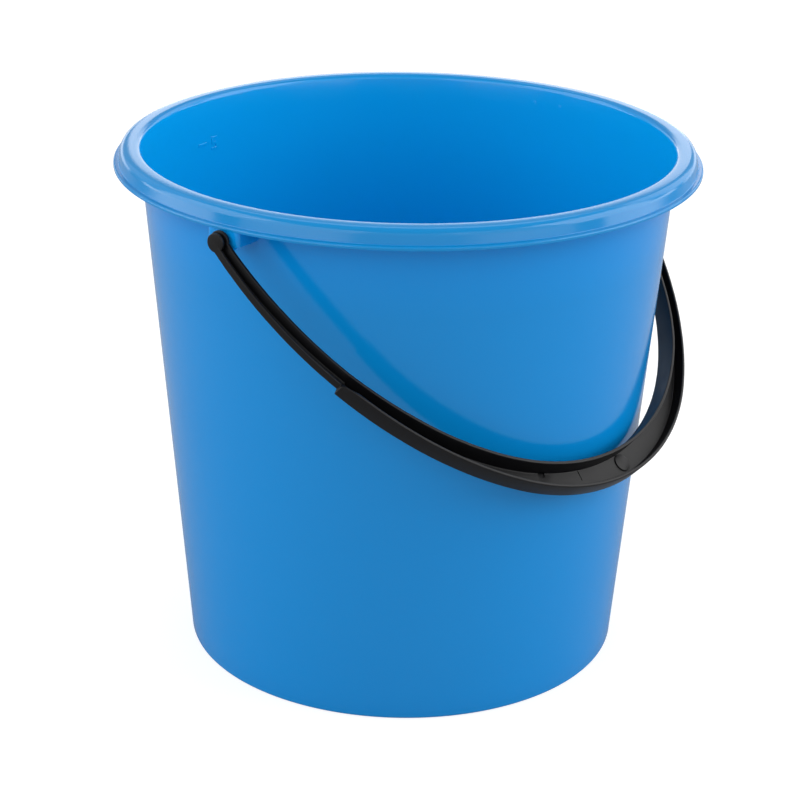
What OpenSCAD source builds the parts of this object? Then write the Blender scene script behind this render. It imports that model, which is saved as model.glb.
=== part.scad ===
// Round five-litre wash bucket with a swinging bail.
// Two mouldings: the bucket with its rolled rim and two ears, and the bail
// whose pins snap into the ears.
// Origin: centre of the foot, on the ground. Z is up, X runs along the bail
// pivots, and the bail hangs down to the front, towards -Y.

/* [Bucket] */
// Height from the ground to the top of the rim
bucket_h = 206; // [160:1:300]
// Inside diameter at the brim
mouth_d = 205.4; // [185:0.2:260]
// Outside diameter at the ground
base_d = 175; // [150:1:200]
// Thickness of the wall and of the rim
wall_t = 1.4; // [1:0.1:2]
// Thickness of the floor
floor_t = 1.8; // [1.2:0.1:3]
// Height of the foot ring that lifts the floor off the ground
foot_h = 5.5; // [2:0.5:8]
// Width of the foot ring
foot_w = 3.2; // [2:0.1:6]
// Rounding between the wall and the floor, on the inside
floor_fillet = 4; // [2:0.5:8]
// Rounding at the outside of the foot ring
foot_round = 1; // [0.4:0.1:1.8]

/* [Rim] */
// Width of the rim from the brim to the edge of the lip
rim_w = 11.3; // [9:0.1:16]
// Height of the rim from its top to the underside of the lip
rim_h = 7; // [5.5:0.1:12]
// How far the lip stands out from the skirt
lip_out = 2; // [1:0.1:3]
// Height of the edge of the lip
lip_h = 1.4; // [0.8:0.1:1.8]
// Height over which the lip flares out of the skirt
flare_h = 0.4; // [0.2:0.1:1.6]
// How far the skirt leans outwards between its top and the lip
skirt_lean = 0.6; // [0.2:0.1:2]
// Rounding at the brim, the inner edge of the rim
brim_round = 1.2; // [0.5:0.1:2.4]
// Rounding between the rim's top and its skirt
rim_round = 3; // [2.4:0.1:3.4]
// Rounding at the edge of the lip
lip_round = 0.35; // [0.2:0.05:0.4]

/* [Ears] */
// Width of an ear
ear_w = 14; // [12:0.5:20]
// Thickness of an ear's front plate
ear_t = 2.6; // [1.8:0.1:4]
// Depth of the front plate behind the edge of the lip
ear_inset = 0.4; // [0.3:0.1:1.5]
// Depth of the pivot below the lip
pivot_drop = 3.8; // [3.6:0.1:8]
// How far the ear's sides reach below the pivot
ear_drop = 1.6; // [0:0.1:3]
// Outside diameter of the boss around the pin hole
boss_d = 10.4; // [9:0.2:12]

/* [Bail] */
// Diameter of the bail's pins
pin_d = 5; // [4:0.1:6]
// Running clearance between a pin and its hole, all round
pin_clear = 0.05; // [0.02:0.01:0.1]
// How far a pin reaches past the back of the ear's front plate
pin_past = 1.2; // [0.5:0.1:3]
// Chamfer that leads a pin into its hole
pin_chamfer = 0.5; // [0.2:0.1:1]
// Clearance between the arms and the lip
arm_clear = 0.5; // [0.4:0.1:1.5]
// Thickness of an arm at its pin
arm_t = 3.6; // [3.2:0.1:5]
// Height of the arms, across the plane of the bail
arm_h = 5.2; // [4.4:0.1:6.6]
// Height of the arms' outer wall above the plane of the bail
arm_up = 0.3; // [0:0.1:2]
// Diameter of the disc on the outside of an arm's end
disc_d = 7; // [5.6:0.1:9]
// Diameter of the eye on the inside of an arm's end
eye_d = 8; // [6.6:0.1:10]
// Thickness of the bail's two walls
rib_t = 1.3; // [1:0.1:1.6]
// Thickness of the web between the walls
web_t = 1.2; // [0.8:0.1:1.8]
// How much longer the bail is than half its span
bail_extra = 28; // [20:1:60]
// How much tighter the crown curves than half the span
crown_tuck = 15; // [5:0.5:20]
// How much wider the sides curve than half the span
side_ease = 22; // [15:0.5:40]

/* [Grip] */
// Half angle of the arc that the grip covers
grip_angle = 67.5; // [50:0.5:75]
// How far the grip stands out from the arms
grip_proud = 1.4; // [0.6:0.1:2.5]
// Distance from the arms' outer curve to the inner wall, at the crown
grip_deep = 9.8; // [8:0.1:14]
// How much tighter the inner wall's crown curves than its half span
inner_tuck = 6.5; // [2:0.5:8]
// How much wider the inner wall's sides curve than its half span
inner_ease = 25.5; // [20:0.5:40]
// Height of the grip's outer wall above the plane of the bail
outer_up = 2.7; // [2:0.1:5]
// Depth of the grip's outer wall below the plane of the bail
outer_down = 3.8; // [3:0.1:4.4]
// Height of the grip's inner wall above the plane of the bail
inner_up = 4.3; // [3.5:0.1:6]
// Depth of the grip's inner wall below the plane of the bail
inner_down = 5; // [4.5:0.1:7]
// Length over which the grip's inner wall grows to its full height
grip_ramp = 50; // [20:1:60]
// Gap between the grip and the wall of the bucket, at rest
rest_gap = 0.4; // [0.3:0.1:2]

/* [Scale] */
// Litres from one mark to the next
litre_step = 1; // [0.5:0.5:2]
// Width of a litre mark
mark_w = 5.4; // [4:0.2:14]
// How far the litre marks sit to the left of the middle, which leaves room for their numbers
mark_shift = 2.8; // [0:0.2:8]
// Height of a litre mark
mark_h = 1.1; // [0.6:0.1:2]
// How far a litre mark stands out from the wall
mark_proud = 0.4; // [0.2:0.1:0.8]

/* [Hidden] */
$fn = 128;

blue = [0.11, 0.45, 0.76];
black = [0.05, 0.05, 0.055];

// Overlap that joins two shapes of one moulding
join = 0.1;
// Extra length of a cutting shape past the face that it cuts
past = 1;
// Steps in a rounding
round_steps = 6;

// The bucket's wall is a cone: its outer radius at a height, and its slope
mouth_r = mouth_d / 2;
base_r = base_d / 2;
taper = (mouth_r + wall_t - base_r) / bucket_h;
function wall_r(z) = base_r + taper * z;
function inside_r(z) = wall_r(z) - wall_t;

// The floor lies on top of the foot ring
floor_z = foot_h + floor_t;

// The rim: top with a rounded brim, leaning skirt and flared lip
rim_r = mouth_r + rim_w;
lip_z = bucket_h - rim_h;
flare_z = lip_z + lip_h + flare_h;
skirt_r = rim_r - lip_out;
skirt_top_r = skirt_r - skirt_lean;
skirt_tilt = atan2(skirt_lean, bucket_h - rim_round - flare_z);
flare_tilt = atan2(lip_out, flare_h);
groove_z = bucket_h - wall_t;

// The ears and the pivot
pivot_z = lip_z - pivot_drop;
ear_x = rim_r - ear_inset;
ear_z = pivot_z - ear_drop;
hole_d = pin_d + 2 * pin_clear;

// The bail, measured in its own plane: x along the pivots, y towards the crown
arm_in = rim_r + arm_clear;
arm_out = arm_in + arm_t;
reach = arm_out + bail_extra;
crown_r = arm_out - crown_tuck;
side_r = arm_out + side_ease;
inner_reach = reach - grip_deep;
inner_crown_r = arm_in - inner_tuck;
inner_side_r = arm_in + inner_ease;
pin_tip = ear_x - ear_t - pin_past;

// Centre of a side arc that runs through the pivot at half_span and meets the crown arc smoothly
function side_centre(top, half_span, crown, side) =
    let (
        crown_y = top - crown,
        gap = norm([half_span, crown_y]),
        along = ((side - crown) ^ 2 - side ^ 2 + gap ^ 2) / (2 * gap),
        across = sqrt((side - crown) ^ 2 - along ^ 2),
        dir = [half_span, -crown_y] / gap
    )
    [0, crown_y] + along * dir + across * [dir.y, -dir.x];

outer_side = side_centre(reach, arm_out, crown_r, side_r);
inner_side = side_centre(inner_reach, arm_in, inner_crown_r, inner_side_r);

// The bail hangs until the lower edge of its inner wall meets the bucket's wall
rest_a = inner_reach + taper * inner_down;
rest_b = taper * inner_reach - inner_down;
rest_c = base_r + rest_gap + taper * pivot_z;
bail_droop = atan2(rest_b, rest_a) + acos(rest_c / norm([rest_a, rest_b]));

// Litres in the bucket up to a height, the height of a number of litres, and the last mark under the rim
low_r = inside_r(floor_z);
litre = 1e6;
function litres_to(z) = PI * (inside_r(z) ^ 3 - low_r ^ 3) / (3 * taper * litre);
function fill_z(litres) = floor_z + (pow(low_r ^ 3 + 3 * taper * litres * litre / PI, 1 / 3) - low_r) / taper;
top_mark = floor(litres_to(lip_z) / litre_step) * litre_step;

// Points of an arc about c, from angle a to angle b
function arc(c, r, a, b) =
    [for (i = [0:round_steps]) let (t = a + (b - a) * i / round_steps) c + r * [cos(t), sin(t)]];

// Section of the bucket, from the foot up the outside, over the rim and down the inside
module bucket_section() {
    skirt_in = skirt_r - wall_t;
    corner_r = inside_r(floor_z) - floor_fillet;
    polygon(concat(
        [[0, foot_h], [base_r - foot_w, foot_h], [base_r - foot_w, 0]],
        arc([base_r - foot_round, foot_round], foot_round, -90, 0),
        [[wall_r(groove_z), groove_z]],
        arc([skirt_top_r - rim_round, bucket_h - rim_round], rim_round - wall_t, 90, skirt_tilt),
        [[skirt_in, flare_z], [skirt_in, lip_z]],
        arc([rim_r - lip_round, lip_z + lip_round], lip_round, -90, 0),
        arc([rim_r - lip_round, lip_z + lip_h - lip_round], lip_round, 0, flare_tilt),
        [[skirt_r, flare_z]],
        arc([skirt_top_r - rim_round, bucket_h - rim_round], rim_round, skirt_tilt, 90),
        arc([mouth_r + brim_round, bucket_h - brim_round], brim_round, 90, 180),
        arc([corner_r, floor_z + floor_fillet], floor_fillet, 0, -90),
        [[0, floor_z]]
    ));
}

// Space under the rim that the ears may fill, up to a little way into the walls around it
module under_rim() {
    rotate_extrude()
        polygon([
            [wall_r(0) - join, 0],
            [rim_r + past, 0],
            [rim_r + past, lip_z + join],
            [skirt_r - wall_t + join, lip_z + join],
            [skirt_r - wall_t + join, flare_z],
            [skirt_top_r - wall_t + join, groove_z + join],
            [wall_r(groove_z) - join, groove_z + join]
        ]);
}

// One ear at +X: a front plate with a round boss, carried by two sides
module ear() {
    top_z = bucket_h - ear_z;
    translate([ear_x - ear_t, 0, 0])
        rotate([90, 0, 90])
            linear_extrude(ear_t)
                union() {
                    translate([-ear_w / 2, ear_z])
                        square([ear_w, top_z]);
                    translate([0, pivot_z])
                        circle(d = boss_d);
                }
    for (side = [-1, 1])
        translate([base_r, side * (ear_w - wall_t) / 2 - wall_t / 2, ear_z])
            cube([ear_x - ear_t + join - base_r, wall_t, top_z]);
}

// Raised marks on the inside, up to the last whole step under the rim
module litre_scale() {
    for (litres = [litre_step:litre_step:top_mark]) {
        z = fill_z(litres) - mark_h / 2;
        intersection() {
            rotate_extrude()
                polygon([
                    [inside_r(z) - mark_proud, z],
                    [inside_r(z) + wall_t / 2, z],
                    [inside_r(z + mark_h) + wall_t / 2, z + mark_h],
                    [inside_r(z + mark_h) - mark_proud, z + mark_h]
                ]);
            translate([-mark_shift - mark_w / 2, 0, z - past])
                cube([mark_w, rim_r, mark_h + 2 * past]);
        }
    }
}

// The moulded bucket, with its ears and litre marks
module bucket() {
    color(blue)
        difference() {
            union() {
                rotate_extrude()
                    bucket_section();
                intersection() {
                    union() {
                        ear();
                        mirror([1, 0, 0])
                            ear();
                    }
                    under_rim();
                }
                litre_scale();
            }
            for (side = [-1, 1])
                translate([side * (ear_x - ear_t / 2), 0, pivot_z])
                    rotate([0, 90, 0])
                        cylinder(d = hole_d, h = ear_t + past, center = true);
        }
}

// Plan of the bail out to one of its curves, grown by an offset
module bail_plan(top, crown, side, centre, grow) {
    crown_y = top - crown;
    meet_y = crown_y + (crown + grow) * (crown_y - centre.y) / (side - crown);
    union() {
        intersection() {
            translate(centre)
                circle(r = side + grow);
            translate([-centre.x, centre.y])
                circle(r = side + grow);
            translate([-side, 0])
                square([2 * side, meet_y]);
        }
        intersection() {
            translate([0, crown_y])
                circle(r = crown + grow);
            translate([-side, meet_y])
                square([2 * side, side]);
        }
    }
}

module outer_plan(grow) {
    bail_plan(reach, crown_r, side_r, outer_side, grow);
}

module inner_plan(grow) {
    bail_plan(inner_reach, inner_crown_r, inner_side_r, inner_side, grow);
}

// Plan of the web, which reaches halfway into both walls
module web_plan(grow) {
    difference() {
        outer_plan(grow - rib_t / 2);
        inner_plan(rib_t / 2);
    }
}

// Part of the plan that belongs to the grip, cut square to the arms and set in from the grip's ends
module grip_plan(inset = 0) {
    tip_y = outer_side.y - outer_side.x / tan(grip_angle);
    far = 2 * reach;
    translate([0, tip_y + inset / sin(grip_angle)])
        polygon([
            [0, 0],
            far * [sin(grip_angle), cos(grip_angle)],
            [far, far],
            [-far, far],
            far * [-sin(grip_angle), cos(grip_angle)]
        ]);
}

// Strips across both ends of the grip, as thick as a wall
module grip_end_plan() {
    difference() {
        grip_plan();
        grip_plan(rib_t);
    }
}

// Side view of the inner wall: as low as the arms at the pivots, and taller along the grip
module inner_wall_side() {
    grip_y = outer_side.y + side_r * cos(grip_angle);
    linear_extrude(2 * reach, center = true)
        polygon([
            [-arm_h / 2, 0],
            [arm_h / 2, 0],
            [arm_h / 2, grip_y],
            [inner_up, grip_y + grip_ramp],
            [inner_up, reach],
            [-inner_down, reach],
            [-inner_down, grip_y + grip_ramp],
            [-outer_down, grip_y],
            [-arm_h / 2, grip_y]
        ]);
}

// End of one arm, at +X: a disc outside, an eye inside, and the pin that runs through them
module arm_end() {
    rotate([0, 90, 0]) {
        translate([0, 0, arm_out - rib_t])
            cylinder(d = disc_d, h = rib_t);
        translate([0, 0, arm_in])
            cylinder(d = eye_d, h = rib_t);
        translate([0, 0, pin_tip])
            cylinder(d1 = pin_d - 2 * pin_chamfer, d2 = pin_d, h = pin_chamfer);
        translate([0, 0, pin_tip + pin_chamfer])
            cylinder(d = pin_d, h = arm_out - join - pin_tip - pin_chamfer);
    }
}

// The bail lying flat, with its plane at z = 0 and its open side up
module bail_flat() {
    // outer wall of the arms
    translate([0, 0, -arm_h / 2])
        linear_extrude(arm_h / 2 + arm_up)
            difference() {
                outer_plan(0);
                outer_plan(-rib_t);
                grip_plan(rib_t / 2);
            }
    // outer wall of the grip
    translate([0, 0, -outer_down])
        linear_extrude(outer_down + outer_up)
            intersection() {
                difference() {
                    outer_plan(grip_proud);
                    outer_plan(grip_proud - rib_t);
                }
                grip_plan();
            }
    // inner wall
    intersection() {
        translate([0, 0, -inner_down])
            linear_extrude(inner_down + inner_up)
                difference() {
                    inner_plan(rib_t);
                    inner_plan(0);
                }
        rotate([0, -90, 0])
            inner_wall_side();
    }
    // web of the arms
    translate([0, 0, -arm_h / 2])
        linear_extrude(web_t)
            difference() {
                web_plan(0);
                grip_plan(rib_t / 2);
            }
    // ends of the grip's outer wall, which turn in to the arms
    translate([0, 0, -outer_down])
        linear_extrude(outer_down + arm_up)
            intersection() {
                difference() {
                    outer_plan(grip_proud);
                    outer_plan(-rib_t);
                }
                grip_end_plan();
            }
    // steps from the arms' web down to the grip's web
    translate([0, 0, -outer_down])
        linear_extrude(outer_down - arm_h / 2 + web_t)
            intersection() {
                web_plan(0);
                grip_end_plan();
            }
    // web of the grip
    translate([0, 0, -outer_down])
        linear_extrude(web_t)
            intersection() {
                web_plan(grip_proud);
                grip_plan(rib_t / 2);
            }
    arm_end();
    mirror([1, 0, 0])
        arm_end();
}

// The moulded bail, hanging at rest
module bail() {
    color(black)
        translate([0, 0, pivot_z])
            rotate([-bail_droop, 0, 180])
                bail_flat();
}

bucket();
bail();
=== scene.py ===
import math

import bpy
from mathutils import Matrix, Vector


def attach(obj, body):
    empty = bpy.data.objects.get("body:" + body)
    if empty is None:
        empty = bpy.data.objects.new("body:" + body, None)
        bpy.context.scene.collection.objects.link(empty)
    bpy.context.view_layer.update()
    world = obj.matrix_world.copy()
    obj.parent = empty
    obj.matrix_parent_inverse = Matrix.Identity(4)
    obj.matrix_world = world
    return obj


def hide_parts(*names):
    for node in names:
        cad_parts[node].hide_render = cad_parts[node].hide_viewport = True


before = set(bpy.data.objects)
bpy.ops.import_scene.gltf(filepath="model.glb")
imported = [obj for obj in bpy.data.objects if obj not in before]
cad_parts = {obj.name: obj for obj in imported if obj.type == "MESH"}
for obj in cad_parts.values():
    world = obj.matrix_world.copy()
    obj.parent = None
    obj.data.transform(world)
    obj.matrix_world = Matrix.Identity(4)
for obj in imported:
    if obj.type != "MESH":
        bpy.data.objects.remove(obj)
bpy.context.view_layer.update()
print("frame loaded:", sorted(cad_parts))

mm = 0.001
litre = 0.001               # cubic metres
mergeGap = 0.001 * mm       # points closer than this become one
scene = bpy.context.scene


# small helpers for the hand work

def deselectAll():
    bpy.ops.object.select_all(action="DESELECT")


def pickOnly(piece):
    deselectAll()
    piece.select_set(True)
    bpy.context.view_layer.objects.active = piece


def nameActive(name):
    piece = bpy.context.active_object
    piece.name = name
    piece.data.name = name
    return piece


def applyPlace(piece):
    pickOnly(piece)
    bpy.ops.object.transform_apply(location=True, rotation=True, scale=True)


def deselectMesh(piece, mode="VERT"):
    # leaves nothing selected in the mesh, so that code can select by place or normal
    pickOnly(piece)
    bpy.ops.object.mode_set(mode="EDIT")
    bpy.ops.mesh.select_all(action="DESELECT")
    bpy.ops.mesh.select_mode(type=mode)
    bpy.ops.object.mode_set(mode="OBJECT")


def mergePoints(piece, gap):
    pickOnly(piece)
    bpy.ops.object.mode_set(mode="EDIT")
    bpy.ops.mesh.select_all(action="SELECT")
    bpy.ops.mesh.remove_doubles(threshold=gap)
    bpy.ops.object.mode_set(mode="OBJECT")


def faceOutwards(piece):
    pickOnly(piece)
    bpy.ops.object.mode_set(mode="EDIT")
    bpy.ops.mesh.select_all(action="SELECT")
    bpy.ops.mesh.normals_make_consistent(inside=False)
    bpy.ops.object.mode_set(mode="OBJECT")


def smoothEdges(piece, degrees):
    pickOnly(piece)
    bpy.ops.object.shade_smooth_by_angle(angle=math.radians(degrees))


def bevelEdges(piece, width, segments=3, degrees=40):
    pickOnly(piece)
    bpy.ops.object.modifier_add(type="BEVEL")
    bevel = piece.modifiers[-1]
    bevel.width = width
    bevel.segments = segments
    bevel.limit_method = "ANGLE"
    bevel.angle_limit = math.radians(degrees)
    bpy.ops.object.modifier_apply(modifier=bevel.name)


def combine(piece, other, operation):
    pickOnly(piece)
    bpy.ops.object.modifier_add(type="BOOLEAN")
    boolean = piece.modifiers[-1]
    boolean.operation = operation
    boolean.solver = "EXACT"
    boolean.object = other
    bpy.ops.object.modifier_apply(modifier=boolean.name)
    bpy.data.objects.remove(other, do_unlink=True)


def addBox(name, low, high):
    deselectAll()
    low, high = Vector(low), Vector(high)
    bpy.ops.mesh.primitive_cube_add(size=1, location=(low + high) / 2, scale=high - low)
    piece = nameActive(name)
    applyPlace(piece)
    return piece


def addRod(name, diameter, fromX, toX, height, sides=64):
    # a round bar along X
    deselectAll()
    bpy.ops.mesh.primitive_cylinder_add(vertices=sides, radius=diameter / 2, depth=abs(toX - fromX),
                                        location=((fromX + toX) / 2, 0, height),
                                        rotation=(0, math.pi / 2, 0))
    piece = nameActive(name)
    applyPlace(piece)
    return piece


def addDisc(name, x, y, diameter, low, high, sides=48):
    deselectAll()
    bpy.ops.mesh.primitive_cylinder_add(vertices=sides, radius=diameter / 2, depth=high - low,
                                        location=(x, y, (low + high) / 2))
    piece = nameActive(name)
    applyPlace(piece)
    return piece


def copyPiece(piece, name):
    twin = piece.copy()
    twin.data = piece.data.copy()
    twin.name = name
    twin.data.name = name
    scene.collection.objects.link(twin)
    return twin


def mix(a, b, share):
    return a + (b - a) * share


def easeStep(value):
    value = min(max(value, 0), 1)
    return value * value * (3 - 2 * value)


def roundedPath(corners, steps, closed=False):
    # corners are (across, up, rounding): a corner with a rounding turns into an arc
    path = []
    for i, (across, up, rounding) in enumerate(corners):
        here = Vector((across, up))
        if rounding == 0 or (not closed and i in (0, len(corners) - 1)):
            path.append(here)
            continue
        back = Vector(corners[i - 1][:2]) - here
        ahead = Vector(corners[(i + 1) % len(corners)][:2]) - here
        half = back.angle(ahead) / 2
        reach = min(rounding / math.tan(half), back.length / 2, ahead.length / 2)
        radius = reach * math.tan(half)
        centre = here + (back.normalized() + ahead.normalized()).normalized() * radius / math.sin(half)
        first = here + back.normalized() * reach - centre
        last = here + ahead.normalized() * reach - centre
        turn = math.atan2(first.x * last.y - first.y * last.x, first.dot(last))
        path += [centre + Matrix.Rotation(turn * k / steps, 2) @ first for k in range(steps + 1)]
    return path


def splitLong(path, longest):
    # shares out long straight stretches, so that the shell's faces stay even
    even = [path[0]]
    for here, there in zip(path, path[1:]):
        parts = max(1, math.ceil((there - here).length / longest))
        even += [here.lerp(there, k / parts) for k in range(1, parts + 1)]
    return even


def directionTo(azimuth, elevation):
    # from the object outwards, in degrees: azimuth 0 is the -Y side
    around = math.radians(azimuth)
    above = math.radians(elevation)
    return Vector((math.sin(around) * math.cos(above), -math.cos(around) * math.cos(above),
                   math.sin(above)))


# camera at the photograph's viewing angle

photoView = {
    "azimuth": -55.17,    # degrees, 0 looks along +Y
    "elevation": 22.343,  # degrees above the floor
    "roll": 0.8909,       # degrees
    "distance": 0.9102,   # metres from the target
    "lens": 100.807,      # mm
    "sensor": 36,         # mm
    "target": (-1.02 * mm, 1.47 * mm, 97.27 * mm),
}


def addCamera(view):
    towards = directionTo(view["azimuth"], view["elevation"])
    upright = towards.to_track_quat("Z", "Y").to_matrix().to_4x4()
    turned = upright @ Matrix.Rotation(math.radians(view["roll"]), 4, "Z")
    deselectAll()
    bpy.ops.object.camera_add(location=Vector(view["target"]) + towards * view["distance"],
                              rotation=turned.to_euler())
    camera = nameActive("photoCamera")
    camera.data.lens = view["lens"]
    camera.data.sensor_width = view["sensor"]
    camera.data.dof.use_dof = False
    scene.camera = camera


addCamera(photoView)
print("camera placed")


# bucket shell: one section turned round the middle

bucketSizes = {
    "height": 206 * mm,
    "mouthRadius": 102.7 * mm,
    "baseRadius": 87.5 * mm,
    "wall": 1.4 * mm,
    "thinning": 0.75 * mm,      # of the wall, from the foot to the brim
    "floorThick": 1.8 * mm,
    "floorFillet": 4 * mm,
    "footHeight": 5.5 * mm,
    "footWidth": 3.2 * mm,
    "footDraft": 0.2 * mm,      # how far the foot ring's inside leans
    "footRound": 1 * mm,        # outer edge of the foot ring
    "footInRound": 0.6 * mm,    # inner edge of the foot ring
    "footFillet": 0.8 * mm,     # between the foot ring and the underside
    "gateRadius": 1.6 * mm,     # stub left by the moulding gate, under the floor
    "gateDrop": 0.7 * mm,
    "gateSpread": 1.2,          # times wider at the stub's root
    "gateRound": 0.3 * mm,
    "rimWidth": 11.3 * mm,
    "rimHeight": 7 * mm,
    "brimUp": 0.4 * mm,         # corner at the brim, above the bucket's height
    "brimRound": 2.3 * mm,
    "shoulderOut": 8.3 * mm,    # corner between the top and the skirt, from the brim
    "shoulderUp": 0.1 * mm,
    "shoulderRound": 3 * mm,
    "skirtFoot": 9.4 * mm,      # foot of the skirt, from the brim
    "skirtInRound": 2 * mm,     # where the skirt's inside turns straight down
    "hollowRound": 4 * mm,      # where the wall bends into the rim's hollow
    "ledge": 1.4 * mm,          # height of the lip's edge
    "ledgeRound": 0.7 * mm,
    "ledgeFillet": 0.4 * mm,    # between the skirt and the lip
    "lipRound": 0.3 * mm,       # lower outer edge of the lip
    "lipInRound": 0.25 * mm,    # lower inner edge of the lip
    "sides": 256,
    "roundSteps": 6,            # faces in each rounding
    "longestFace": 9 * mm,
    "smooth": 32,               # degrees
}

topRadius = bucketSizes["mouthRadius"] + bucketSizes["wall"]
bucketTaper = (topRadius - bucketSizes["baseRadius"]) / bucketSizes["height"]
floorTop = bucketSizes["footHeight"] + bucketSizes["floorThick"]
rimRadius = bucketSizes["mouthRadius"] + bucketSizes["rimWidth"]
lipBottom = bucketSizes["height"] - bucketSizes["rimHeight"]


def wallRadius(height):
    return bucketSizes["baseRadius"] + bucketTaper * height


def insideRadius(height):
    thinner = bucketSizes["thinning"] * height / bucketSizes["height"]
    return wallRadius(height) - bucketSizes["wall"] + thinner


def bucketSection(s):
    top = s["height"]
    brim = s["mouthRadius"]
    footInside = s["baseRadius"] - s["footWidth"]
    gateBottom = s["footHeight"] - s["gateDrop"]
    groove = top - s["wall"]
    skirtFoot = brim + s["skirtFoot"]
    ledge = lipBottom + s["ledge"]
    shoulder = brim + s["shoulderOut"]
    corners = [
        # underside, with the gate's stub, and foot ring
        (0, gateBottom, 0),
        (s["gateRadius"], gateBottom, s["gateRound"]),
        (s["gateRadius"] * s["gateSpread"], s["footHeight"], s["gateRound"]),
        (footInside - s["footDraft"], s["footHeight"], s["footFillet"]),
        (footInside, 0, s["footInRound"]),
        (s["baseRadius"], 0, s["footRound"]),
        # outside of the wall, hollow of the rim and lip
        (wallRadius(lipBottom), lipBottom, s["hollowRound"]),
        (wallRadius(groove) + s["thinning"], groove, s["brimRound"] - s["wall"]),
        (shoulder - s["wall"], groove, s["shoulderRound"] - s["wall"]),
        (skirtFoot - s["wall"], ledge, s["skirtInRound"]),
        (skirtFoot - s["wall"], lipBottom, s["lipInRound"]),
        (rimRadius, lipBottom, s["lipRound"]),
        (rimRadius, ledge, s["ledgeRound"]),
        # skirt and top of the rim
        (skirtFoot, ledge, s["ledgeFillet"]),
        (shoulder, top + s["shoulderUp"], s["shoulderRound"]),
        (insideRadius(top), top + s["brimUp"], s["brimRound"]),
        # inside
        (insideRadius(floorTop), floorTop, s["floorFillet"]),
        (0, floorTop, 0),
    ]
    return splitLong(roundedPath(corners, s["roundSteps"]), s["longestFace"])


def latheShell(name, path, sides):
    # a point is pulled along the section, then the line is spun once round
    deselectAll()
    bpy.ops.mesh.primitive_plane_add(size=mm)
    piece = nameActive(name)
    bpy.ops.object.mode_set(mode="EDIT")
    bpy.ops.mesh.select_all(action="SELECT")
    bpy.ops.mesh.merge(type="CENTER")
    bpy.ops.transform.translate(value=(path[0].x, 0, path[0].y))
    for here, there in zip(path, path[1:]):
        pull = (there.x - here.x, 0, there.y - here.y)
        bpy.ops.mesh.extrude_region_move(TRANSFORM_OT_translate={"value": pull})
    bpy.ops.mesh.select_all(action="SELECT")
    bpy.ops.mesh.spin(steps=sides, angle=2 * math.pi, center=(0, 0, 0), axis=(0, 0, 1))
    bpy.ops.object.mode_set(mode="OBJECT")
    mergePoints(piece, mergeGap)
    faceOutwards(piece)
    return piece


bucketShell = latheShell("bucketShell", bucketSection(bucketSizes), bucketSizes["sides"])
smoothEdges(bucketShell, bucketSizes["smooth"])
print("bucket shell turned:", len(bucketShell.data.polygons), "faces")


# ears that carry the bail: a front plate with a round boss, and two sides

earSizes = {
    "width": 14 * mm,
    "plateThick": 2.6 * mm,
    "inset": 0.4 * mm,          # behind the edge of the lip
    "pivotDrop": 3.8 * mm,      # below the lip
    "drop": 1.6 * mm,           # of the sides, below the pivot
    "boss": 10.4 * mm,
    "bossSides": 96,
    "hole": 5.1 * mm,
    "holePast": 2 * mm,         # how far the cut of the hole goes past the plate
    "edge": 0.35 * mm,
    "frontRound": 1.3 * mm,     # upright front edges of the plate
    "frontSteps": 6,
    "seat": 0.5 * mm,           # how far an ear is sunk into the rim and the wall
    "overlap": 0.2 * mm,        # of a side and the plate
    "sideTopIn": 2.3 * mm,      # how far a side draws in under the rim, from the skirt and from the brim
    "smooth": 35,               # degrees
}

pivotHeight = lipBottom - earSizes["pivotDrop"]


def roundFrontEdges(plate, rounding, steps):
    nearFront = max(vert.co.x for vert in plate.data.vertices) - 0.01 * mm
    deselectMesh(plate, "EDGE")
    for edge in plate.data.edges:
        low, high = (plate.data.vertices[i].co for i in edge.vertices)
        edge.select = min(low.x, high.x) > nearFront and abs(low.z - high.z) > rounding
    bpy.ops.object.mode_set(mode="EDIT")
    bpy.ops.mesh.bevel(offset=rounding, segments=steps)
    bpy.ops.mesh.select_mode(type="VERT")
    bpy.ops.object.mode_set(mode="OBJECT")


def makeEarSide(s, side, back, bottom, plateTop):
    # from the plate to the wall, and drawn in where it goes up into the rim's hollow
    outer = side * s["width"] / 2
    inner = side * (s["width"] / 2 - bucketSizes["wall"])
    wallSeat = wallRadius(bottom) - s["seat"]
    grooveTop = bucketSizes["height"] - bucketSizes["wall"] / 2
    web = addBox("earSide", (wallSeat, min(outer, inner), bottom),
                 (back + s["overlap"], max(outer, inner), plateTop))
    deselectMesh(web)
    for face in web.data.polygons:
        face.select = face.normal.z > 0.9
    bpy.ops.object.mode_set(mode="EDIT")
    bpy.ops.mesh.extrude_region_move(TRANSFORM_OT_translate={"value": (0, 0, grooveTop - plateTop)})
    bpy.ops.object.mode_set(mode="OBJECT")
    for vert in web.data.vertices:
        if vert.select:
            vert.co.x += s["sideTopIn"] if vert.co.x < back else -s["sideTopIn"]
    return web


def makeEar(name, s):
    front = rimRadius - s["inset"]
    back = front - s["plateThick"]
    bottom = pivotHeight - s["drop"]
    plateTop = lipBottom + s["seat"]
    half = s["width"] / 2
    ear = addBox(name, (back, -half, bottom), (front, half, plateTop))
    roundFrontEdges(ear, s["frontRound"], s["frontSteps"])
    boss = addRod("earBoss", s["boss"], back, front, pivotHeight, s["bossSides"])
    combine(ear, boss, "UNION")
    for side in (-1, 1):
        combine(ear, makeEarSide(s, side, back, bottom, plateTop), "UNION")
    hole = addRod("earHole", s["hole"], back - s["holePast"], front + s["holePast"], pivotHeight)
    combine(ear, hole, "DIFFERENCE")
    bevelEdges(ear, s["edge"])
    smoothEdges(ear, s["smooth"])
    return ear


earRight = makeEar("earRight", earSizes)
earLeft = copyPiece(earRight, "earLeft")
earLeft.rotation_euler.z = math.pi
applyPlace(earLeft)
print("ears made")


# litre scale on the inside: a raised dash and a number for each litre

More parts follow.
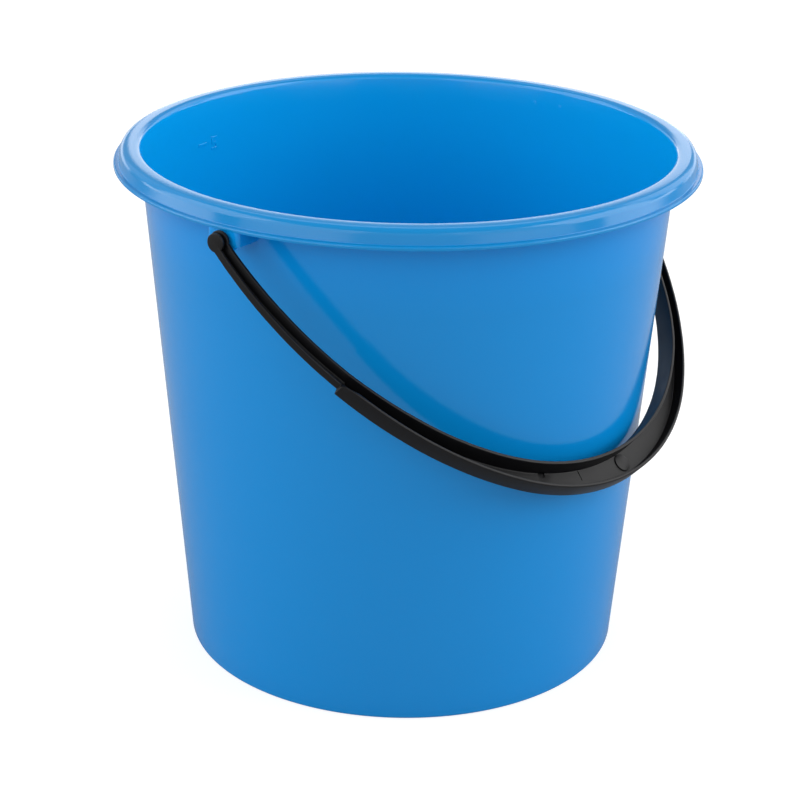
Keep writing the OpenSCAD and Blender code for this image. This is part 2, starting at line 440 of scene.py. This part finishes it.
scaleSizes = {
    "litres": 5,
    "dashWidth": 5.4 * mm,
    "dashHeight": 1.1 * mm,
    "dashShift": 2.8 * mm,      # left of the middle
    "dashSmooth": 40,           # degrees
    "proud": 0.25 * mm,
    "edge": 0.2 * mm,
    "numberShift": 4.6 * mm,    # right of the middle
    "numberDrop": 1.1 * mm,     # middle of the number, below the dash
    "numberHeight": 5.6 * mm,
    "numberShare": 0.73,        # height of the built-in numbers in their letter size
    "numberStretch": 1.25,
    "numberSteps": 2,           # in the rounded edges
    "numberSmooth": 30,         # degrees
}


def fillHeight(litres):
    # height of the water's surface over the ground
    low = insideRadius(floorTop)
    volume = litres * litre
    return floorTop + ((low ** 3 + 3 * bucketTaper * volume / math.pi) ** (1 / 3) - low) / bucketTaper


def layOnWall(piece, across, height):
    # stands a piece, drawn flat on the XY plane, against the inside of the back wall
    radius = insideRadius(height)
    lean = math.atan(bucketTaper)
    around = math.asin(across / radius)
    place = Matrix.Rotation(-around, 4, "Z") @ Matrix.Translation((0, radius, height))
    piece.matrix_world = place @ Matrix.Rotation(math.pi / 2 - lean, 4, "X")
    applyPlace(piece)


def makeDash(litres, s):
    sunk = 2 * s["proud"]
    dash = addBox("litreDash%d" % litres, (-s["dashWidth"] / 2, -s["dashHeight"] / 2, -sunk),
                  (s["dashWidth"] / 2, s["dashHeight"] / 2, s["proud"]))
    bevelEdges(dash, s["edge"])
    layOnWall(dash, -s["dashShift"], fillHeight(litres))
    smoothEdges(dash, s["dashSmooth"])
    return dash


def makeNumber(litres, s):
    deselectAll()
    bpy.ops.object.text_add()
    number = nameActive("litreNumber%d" % litres)
    number.data.body = str(litres)
    number.data.align_x = "CENTER"
    number.data.align_y = "CENTER"
    number.data.size = s["numberHeight"] / s["numberShare"]
    number.data.extrude = s["proud"] - s["edge"]
    number.data.bevel_depth = s["edge"]
    number.data.bevel_resolution = s["numberSteps"]
    bpy.ops.object.convert(target="MESH")
    number = bpy.context.active_object
    number.scale.x = s["numberStretch"]
    applyPlace(number)
    mergePoints(number, mergeGap)
    layOnWall(number, s["numberShift"], fillHeight(litres) - s["numberDrop"])
    smoothEdges(number, s["numberSmooth"])
    return number


def makeScale(s):
    marks = []
    for litres in range(1, s["litres"] + 1):
        marks.append(makeDash(litres, s))
        marks.append(makeNumber(litres, s))
    return marks


litreMarks = makeScale(scaleSizes)
print("litre scale raised:", len(litreMarks), "marks")


# bail: a thin channel along an oval, wider and deeper at the grip

bailSizes = {
    "pin": 5 * mm,
    "pinPast": 1.2 * mm,        # inwards from the ear's plate
    "pinShort": 0.5 * mm,       # end of the pin, behind the disc's face
    "pinEdge": 0.5 * mm,
    "armClear": 0.5 * mm,
    "armThick": 3.6 * mm,
    "armHeight": 5.2 * mm,
    "armUp": 0.3 * mm,          # top of the arms' outer wall, over the bail's plane
    "disc": 7 * mm,
    "eye": 8 * mm,
    "discEdge": 0.3 * mm,       # of the disc and the eye
    "rib": 1.3 * mm,
    "web": 1.2 * mm,
    "extra": 28 * mm,           # longer than half the span
    "crownTuck": 15 * mm,       # radius of the outer crown, under half the span
    "sideEase": 22 * mm,        # radius of the outer sides, over half the span
    "innerTuck": 6.5 * mm,      # the same for the inner wall
    "innerEase": 25.5 * mm,
    "gripTurn": 22.1,           # degrees round the side, from the pivots' line
    "gripStep": 0.6 * mm,       # length of the step at the grip's ends
    "gripRise": 1.6 * mm,       # length over which the outer wall rises to the grip
    "gripProud": 1.4 * mm,
    "gripDeep": 9.8 * mm,
    "gripRamp": 50 * mm,        # over which the inner wall grows
    "outerUp": 2.7 * mm,
    "outerDown": 3.8 * mm,
    "innerUp": 4.3 * mm,
    "innerDown": 5 * mm,
    "innerFoot": 0.02 * mm,     # least step from the web down to the inner wall's foot
    "restGap": 0.4 * mm,
    "edgeRound": 0.32 * mm,
    "palmRound": 0.7 * mm,      # outer edge of the grip's outer wall
    "webRound": 0.5 * mm,
    "edgeSteps": 3,
    "ringSpacing": 1.8 * mm,
    "stepRings": 6,
    "mergeGap": 0.002 * mm,
    "smooth": 35,               # degrees
}

armIn = rimRadius + bailSizes["armClear"]
armOut = armIn + bailSizes["armThick"]


def bailCurve(reach, halfSpan, crownRadius, sideRadius):
    # an oval of three arcs: a side through each pivot and a crown that meets them smoothly
    crown = Vector((0, reach - crownRadius))
    gap = math.hypot(halfSpan, crown.y)
    spread = sideRadius - crownRadius
    along = (spread ** 2 - sideRadius ** 2 + gap ** 2) / (2 * gap)
    across = math.sqrt(spread ** 2 - along ** 2)
    out = Vector((halfSpan, -crown.y)) / gap
    side = crown + along * out + across * Vector((out.y, -out.x))
    meet = math.atan2(crown.y - side.y, crown.x - side.x)
    return {"crown": crown, "crownRadius": crownRadius, "side": side, "sideRadius": sideRadius, "meet": meet,
            "start": math.atan2(-side.y, halfSpan - side.x), "reach": reach}


def outerPoint(curve, turn):
    out = Vector((math.cos(turn), math.sin(turn)))
    if turn <= curve["meet"]:
        return curve["side"] + out * curve["sideRadius"]
    return curve["crown"] + out * curve["crownRadius"]


def channelDepth(point, inward, curve):
    # how far the inner curve lies inwards from a point of the outer curve
    def distanceTo(centre, radius):
        gap = point - centre
        lead = inward.dot(gap)
        return -lead - math.sqrt(lead * lead - gap.length_squared + radius * radius)
    toSide = distanceTo(curve["side"], curve["sideRadius"])
    hit = point + inward * toSide - curve["side"]
    if math.atan2(hit.y, hit.x) <= curve["meet"]:
        return toSide
    return distanceTo(curve["crown"], curve["crownRadius"])


outerCurve = bailCurve(armOut + bailSizes["extra"], armOut, armOut - bailSizes["crownTuck"],
                       armOut + bailSizes["sideEase"])
innerCurve = bailCurve(outerCurve["reach"] - bailSizes["gripDeep"], armIn, armIn - bailSizes["innerTuck"],
                       armIn + bailSizes["innerEase"])


def channelSection(s, depth, outside, inside, rise, riseBack, tall):
    # 0 on the arms and 1 on the grip: the outer wall's face and back, and its top at the face and the back;
    # tall is the growth of the inner wall
    armHalf = s["armHeight"] / 2
    face = -s["gripProud"] * outside
    faceBack = s["rib"] - s["gripProud"] * inside
    outerTop = mix(s["armUp"], s["outerUp"], rise)
    backTop = mix(s["armUp"], s["outerUp"], riseBack)
    under = -mix(armHalf, s["outerDown"], outside)
    webTop = s["web"] - mix(armHalf, s["outerDown"], inside)
    innerTop = mix(armHalf, s["innerUp"], tall)
    innerLow = mix(under, -s["innerDown"], tall) - s["innerFoot"]
    edge = s["edgeRound"]
    fillet = s["webRound"]
    return roundedPath([
        (face, outerTop, mix(edge, s["palmRound"], rise)),
        (face, under, edge),
        (depth - s["rib"], under, fillet),
        (depth - s["rib"], innerLow, edge),
        (depth, innerLow, edge),
        (depth, innerTop, edge),
        (depth - s["rib"], innerTop, edge),
        (depth - s["rib"], webTop, fillet),
        (faceBack, webTop, fillet),
        (faceBack, backTop, edge),
    ], s["edgeSteps"], closed=True)


def bailTurns(s):
    # where the channel's rings stand, from the pivot to the crown, closer together at the grip's end
    stepTurn = s["gripStep"] / outerCurve["sideRadius"]
    ribTurn = s["rib"] / outerCurve["sideRadius"]
    gripStart = math.radians(s["gripTurn"])
    stops = [outerCurve["start"], gripStart, gripStart + stepTurn, gripStart + ribTurn,
             gripStart + ribTurn + stepTurn, math.pi / 2]
    turns = [stops[0]]
    for here, there in zip(stops, stops[1:]):
        rings = max(s["stepRings"], round((there - here) * outerCurve["crownRadius"] / s["ringSpacing"]))
        turns += [mix(here, there, k / rings) for k in range(1, rings + 1)]
    return turns


def channelRing(s, turn):
    # points of one ring, on the right-hand half of the bail
    out = Vector((math.cos(turn), math.sin(turn)))
    point = outerPoint(outerCurve, turn)
    depth = channelDepth(point, -out, innerCurve)
    past = (turn - math.radians(s["gripTurn"])) * outerCurve["sideRadius"]
    outside = easeStep(past / s["gripStep"])
    inside = easeStep((past - s["rib"]) / s["gripStep"])
    rise = easeStep(past / s["gripRise"])
    riseBack = easeStep((past - s["rib"]) / s["gripRise"])
    gripY = outerPoint(outerCurve, math.radians(s["gripTurn"])).y
    tall = min(max((point.y - gripY) / s["gripRamp"], 0), 1)
    ring = channelSection(s, depth, outside, inside, rise, riseBack, tall)
    return [Vector((*(point - out * p.x), p.y)) for p in ring]


def makeChannel(name, s):
    rings = [channelRing(s, turn) for turn in bailTurns(s)]
    rings += [[Vector((-p.x, p.y, p.z)) for p in ring] for ring in reversed(rings[:-1])]
    around = len(rings[0])
    # a tube with as many sides and rings, whose points are then laid along the oval
    deselectAll()
    bpy.ops.mesh.primitive_cylinder_add(vertices=around, radius=1, depth=1, end_fill_type="NGON")
    piece = nameActive(name)
    deselectMesh(piece, "EDGE")
    for edge in piece.data.edges:
        low, high = (piece.data.vertices[i].co for i in edge.vertices)
        edge.select = abs(low.z - high.z) > 0.5
    bpy.ops.object.mode_set(mode="EDIT")
    bpy.ops.mesh.subdivide(number_cuts=len(rings) - 2)
    bpy.ops.mesh.select_mode(type="VERT")
    bpy.ops.object.mode_set(mode="OBJECT")
    for vert in piece.data.vertices:
        ring = round((vert.co.z + 0.5) * (len(rings) - 1))
        corner = round(math.atan2(vert.co.x, vert.co.y) / (2 * math.pi) * around) % around
        vert.co = rings[ring][corner]
    faceOutwards(piece)
    return piece


def addArmEnd(bail, s, side):
    # disc outside, eye inside and the pin through both
    pinTip = rimRadius - earSizes["inset"] - earSizes["plateThick"] - s["pinPast"]
    rods = [
        ("armDisc", s["disc"], armOut - s["rib"], armOut, s["discEdge"]),
        ("armEye", s["eye"], armIn, armIn + s["rib"], s["discEdge"]),
        ("armPin", s["pin"], pinTip, armOut - s["pinShort"], s["pinEdge"]),
    ]
    for name, diameter, inner, outer, edge in rods:
        rod = addRod(name, diameter, side * inner, side * outer, 0)
        bevelEdges(rod, edge)
        combine(bail, rod, "UNION")


gripMarks = {
    "sprue": (-0.6 * mm, 141.6 * mm, 7.2 * mm),     # raised disc: place and diameter
    "sprueEdge": 0.15 * mm,
    "sprueSunk": 0.3 * mm,
    "ejector": (43.8 * mm, 129 * mm, 3.4 * mm),     # round dent: place and diameter
    "notch": (25.4 * mm, 137.1 * mm, 4.2 * mm),     # groove across the web: place and length
    "notchWidth": 0.45 * mm,
    "height": 0.45 * mm,        # of the disc, and depth of the dent and the groove
}


def addGripMarks(bail, s, marks):
    # what the mould leaves on the web of the grip
    webTop = s["web"] - s["outerDown"]
    top = webTop + marks["height"]
    bottom = webTop - marks["height"]
    sprue = addDisc("sprueMark", *marks["sprue"], webTop - marks["sprueSunk"], top)
    bevelEdges(sprue, marks["sprueEdge"], segments=2)
    combine(bail, sprue, "UNION")
    combine(bail, addDisc("ejectorMark", *marks["ejector"], bottom, top), "DIFFERENCE")
    x, y, length = marks["notch"]
    notch = addBox("notchMark", (-marks["notchWidth"] / 2, -length / 2, bottom),
                   (marks["notchWidth"] / 2, length / 2, top))
    notch.location = (x, y, 0)
    notch.rotation_euler.z = -math.atan2(x, y - outerCurve["crown"].y)
    applyPlace(notch)
    combine(bail, notch, "DIFFERENCE")


def bailDroop(s):
    # the bail hangs until the low edge of its inner wall meets the bucket: a cos(droop) + b sin(droop) = c
    reach = innerCurve["reach"]
    a = reach + bucketTaper * s["innerDown"]
    b = bucketTaper * reach - s["innerDown"]
    c = bucketSizes["baseRadius"] + s["restGap"] + bucketTaper * pivotHeight
    return math.atan2(b, a) + math.acos(c / math.hypot(a, b))


def makeBail(s):
    bail = makeChannel("bailHandle", s)
    for side in (-1, 1):
        addArmEnd(bail, s, side)
    addGripMarks(bail, s, gripMarks)
    bail.rotation_euler = (-bailDroop(s), 0, math.pi)
    bail.location = (0, 0, pivotHeight)
    applyPlace(bail)
    mergePoints(bail, s["mergeGap"])
    smoothEdges(bail, s["smooth"])
    return bail


bailHandle = makeBail(bailSizes)
print("bail laid:", len(bailHandle.data.polygons), "faces")


# finishes: a noise is given by its scale and detail

bluePlastic = {
    "colour": (0.001, 0.284, 0.755, 1),
    "paler": (0.002, 0.296, 0.775, 1),
    "underRimPaintedLight": (0.001, 0.322, 0.885, 1),      # painted light: the wall close under the rim is coloured brighter, for light that comes through the thin wall
    "underRimLightFade": 30 * mm,
    # painted shade: the folded rim is coloured darker because no light comes through its two layers
    "rim": (0.001, 0.268, 0.66, 1),
    "rimFade": 0.4 * mm,
    "inside": (0.001, 0.36, 0.81, 1),       # painted bounce light: the inside is coloured greener and brighter, for light that bounces inside the bucket
    "insideLightFade": (0.8 * mm, 1.3 * mm),     # where it ends, out from the cone of the inner wall's foot
    "flow": (18, 3),
    "haze": (60, 4),
    "skin": (900, 2),
    "peel": 0.05,               # strength of the faint unevenness of the moulded skin
    "roughness": (0.12, 0.17),
    "ior": 1.49,
}

blackPlastic = {
    "colour": (0.003, 0.003, 0.004, 1),
    "paler": (0.005, 0.005, 0.006, 1),
    "flow": (120, 4),
    "skin": (2500, 2),
    "grain": 0.12,
    "roughness": (0.34, 0.46),
    "ior": 1.49,
    "specular": 0.3,
}

skinDepth = 0.1 * mm        # of the bump in both plastics


def addNode(tree, kind, place, operation=None, **values):
    node = tree.nodes.new(kind)
    node.location = place
    if operation:
        node.operation = operation
    for name, value in values.items():
        node.inputs[name].default_value = value
    return node


def startMaterial(name):
    material = bpy.data.materials.new(name)
    material.use_nodes = True
    tree = material.node_tree
    coords = addNode(tree, "ShaderNodeTexCoord", (-1200, 0)).outputs["Object"]
    return material, tree, tree.nodes["Principled BSDF"], coords


def addNoise(tree, coords, place, scale, detail):
    noise = addNode(tree, "ShaderNodeTexNoise", place, Scale=scale, Detail=detail)
    tree.links.new(coords, noise.inputs["Vector"])
    return noise.outputs["Fac"]


def addRange(tree, source, place, low=0, high=1, first=0, last=1):
    # turns low to high of the source into first to last
    node = addNode(tree, "ShaderNodeMapRange", place)
    limits = {"From Min": low, "From Max": high, "To Min": first, "To Max": last}
    for name, value in limits.items():
        node.inputs[name].default_value = value
    tree.links.new(source, node.inputs["Value"])
    return node.outputs["Result"]


def addColourMix(tree, share, place, first, second):
    # in a mix of colours, sockets 6 and 7 are the two colours and 2 is the outcome
    node = tree.nodes.new("ShaderNodeMix")
    node.data_type = "RGBA"
    node.location = place
    tree.links.new(share, node.inputs[0])
    if isinstance(first, tuple):
        node.inputs[6].default_value = first
    else:
        tree.links.new(first, node.inputs[6])
    node.inputs[7].default_value = second
    return node.outputs[2]


def addSkin(tree, shader, skin, strength):
    bump = addNode(tree, "ShaderNodeBump", (-400, -300), Strength=strength, Distance=skinDepth)
    tree.links.new(skin, bump.inputs["Height"])
    tree.links.new(bump.outputs["Normal"], shader.inputs["Normal"])


def addHeightMask(tree, coords, place, low, high):
    split = addNode(tree, "ShaderNodeSeparateXYZ", place)
    tree.links.new(coords, split.inputs[0])
    return addRange(tree, split.outputs["Z"], (place[0] + 200, place[1]), low, high)


def addInsideMask(tree, coords, fade):
    # 1 on the inside of the bucket, 0 on the outside, with a soft change over the brim: where the painted
    # bounce light goes
    flat = addNode(tree, "ShaderNodeVectorMath", (-1000, 500), "MULTIPLY")
    flat.inputs[1].default_value = (1, 1, 0)
    radius = addNode(tree, "ShaderNodeVectorMath", (-800, 500), "LENGTH")
    split = addNode(tree, "ShaderNodeSeparateXYZ", (-1000, 700))
    cone = addNode(tree, "ShaderNodeMath", (-600, 600), "MULTIPLY_ADD")
    cone.inputs[1].default_value = -bucketTaper
    tree.links.new(coords, flat.inputs[0])
    tree.links.new(flat.outputs["Vector"], radius.inputs[0])
    tree.links.new(coords, split.inputs[0])
    tree.links.new(split.outputs["Z"], cone.inputs[0])
    tree.links.new(radius.outputs["Value"], cone.inputs[2])
    foot = insideRadius(0)
    return addRange(tree, cone.outputs[0], (-400, 600), foot + fade[0], foot + fade[1], 1, 0)


def makeBlue(look):
    material, tree, shader, coords = startMaterial("bluePolypropylene")
    flow = addNoise(tree, coords, (-800, 200), *look["flow"])
    haze = addNoise(tree, coords, (-800, -50), *look["haze"])
    skin = addNoise(tree, coords, (-800, -300), *look["skin"])
    # painted light and shade: the wall below the rim is coloured brighter for light that comes through it,
    # and the folded rim is coloured darker because no light comes through it
    underRimLightMask = addHeightMask(tree, coords, (-1000, 900), lipBottom - look["underRimLightFade"], lipBottom)
    rimShadeMask = addHeightMask(tree, coords, (-1000, 1100), lipBottom, lipBottom + look["rimFade"])
    # painted bounce light on the inside of the bucket
    inside = addInsideMask(tree, coords, look["insideLightFade"])
    colour = addColourMix(tree, flow, (-400, 200), look["colour"], look["paler"])
    colour = addColourMix(tree, underRimLightMask, (-300, 250), colour, look["underRimPaintedLight"])
    colour = addColourMix(tree, rimShadeMask, (-250, 280), colour, look["rim"])
    colour = addColourMix(tree, inside, (-200, 300), colour, look["inside"])
    tree.links.new(colour, shader.inputs["Base Color"])
    gloss = addRange(tree, haze, (-400, -50), 0, 1, *look["roughness"])
    tree.links.new(gloss, shader.inputs["Roughness"])
    addSkin(tree, shader, skin, look["peel"])
    shader.inputs["IOR"].default_value = look["ior"]
    return material


def makeBlack(look):
    material, tree, shader, coords = startMaterial("blackPolypropylene")
    flow = addNoise(tree, coords, (-800, 200), *look["flow"])
    skin = addNoise(tree, coords, (-800, -300), *look["skin"])
    colour = addColourMix(tree, flow, (-400, 200), look["colour"], look["paler"])
    tree.links.new(colour, shader.inputs["Base Color"])
    gloss = addRange(tree, flow, (-400, -50), 0, 1, *look["roughness"])
    tree.links.new(gloss, shader.inputs["Roughness"])
    addSkin(tree, shader, skin, look["grain"])
    shader.inputs["IOR"].default_value = look["ior"]
    shader.inputs["Specular IOR Level"].default_value = look["specular"]
    return material


def wear(piece, material):
    piece.data.materials.clear()
    piece.data.materials.append(material)


blueFinish = makeBlue(bluePlastic)
blackFinish = makeBlack(blackPlastic)
for piece in [bucketShell, earLeft, earRight] + litreMarks:
    wear(piece, blueFinish)
wear(bailHandle, blackFinish)
print("finishes applied")


# floor and light

studio = {
    "floorSize": 20,
    "floorColour": (0.43, 0.43, 0.43, 1),
    "floorGlow": 0.72,          # keeps the floor white for the camera, with a faint shadow
    "sky": 0.36,
    "middle": (0, 0, 0.1),
    "lightDistance": 2,
}

# softboxes: azimuth from the camera's side and elevation in degrees, width and height in metres, brightness
softboxes = {
    "frontBox": (0, 24, 1.45, 1, 0.4),
    "frontRightLowBox": (45, 6, 1.4, 0.4, 0.9),
    "frontRightBox": (42, 28, 1.6, 1.3, 0.7),
    "rightBox": (85, 32, 1.6, 1.5, 2.5),
    "rightLowBox": (100, 6, 1.6, 0.4, 2.3),
    "rightBackBox": (132, 28, 1.1, 1.2, 1.1),
    "backBox": (178, 11, 1, 0.85, 1.4),
    "backRightLowBox": (150, 4, 1.4, 0.45, 1.2),
    "backLeftLowBox": (206, 4, 1.4, 0.45, 1.2),
    "backTopBox": (180, 58, 1.4, 0.9, 0.9),
    "leftBackBox": (228, 30, 1.1, 1.2, 0.3),
    "leftBox": (272, 32, 1.6, 1.5, 1.9),
    "leftLowBox": (262, 6, 1.6, 0.4, 2.2),
    "frontLeftBox": (318, 28, 1.6, 1.3, 1.2),
    "frontLeftLowBox": (315, 6, 1.4, 0.4, 0.7),
}


def makeFloor(s):
    deselectAll()
    bpy.ops.mesh.primitive_plane_add(size=s["floorSize"])
    floor = nameActive("paleFloor")
    material = bpy.data.materials.new("paleFloor")
    material.use_nodes = True
    tree = material.node_tree
    tree.nodes.clear()
    matt = addNode(tree, "ShaderNodeBsdfDiffuse", (0, 100), Color=s["floorColour"])
    glow = addNode(tree, "ShaderNodeEmission", (0, -100))
    seen = addNode(tree, "ShaderNodeLightPath", (-400, -100))
    level = addNode(tree, "ShaderNodeMath", (-200, -100), "MULTIPLY")
    level.inputs[1].default_value = s["floorGlow"]
    both = addNode(tree, "ShaderNodeAddShader", (200, 0))
    out = addNode(tree, "ShaderNodeOutputMaterial", (400, 0))
    tree.links.new(seen.outputs["Is Camera Ray"], level.inputs[0])
    tree.links.new(level.outputs[0], glow.inputs["Strength"])
    tree.links.new(matt.outputs[0], both.inputs[0])
    tree.links.new(glow.outputs[0], both.inputs[1])
    tree.links.new(both.outputs[0], out.inputs["Surface"])
    wear(floor, material)


def addSoftbox(name, s, turn, elevation, width, height, brightness):
    towards = directionTo(photoView["azimuth"] + turn, elevation)
    deselectAll()
    bpy.ops.object.light_add(type="AREA", location=Vector(s["middle"]) + towards * s["lightDistance"],
                             rotation=towards.to_track_quat("Z", "Y").to_euler())
    light = nameActive(name)
    light.data.shape = "RECTANGLE"
    light.data.size = width
    light.data.size_y = height
    light.data.energy = brightness * math.pi * width * height
    light.visible_camera = False


def makeStudio(s):
    world = bpy.data.worlds.new("softSky")
    world.use_nodes = True
    sky = world.node_tree.nodes["Background"]
    sky.inputs["Color"].default_value = (1, 1, 1, 1)
    sky.inputs["Strength"].default_value = s["sky"]
    scene.world = world
    for name, box in softboxes.items():
        addSoftbox(name, s, *box)
    scene.view_settings.view_transform = "Standard"


makeFloor(studio)
makeStudio(studio)
print("floor and light set")


# ride and replace

for piece in [bucketShell, earLeft, earRight] + litreMarks:
    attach(piece, "bucket")
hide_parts("bucket")
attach(bailHandle, "bail")
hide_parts("bail")
print("pieces set on their bodies")
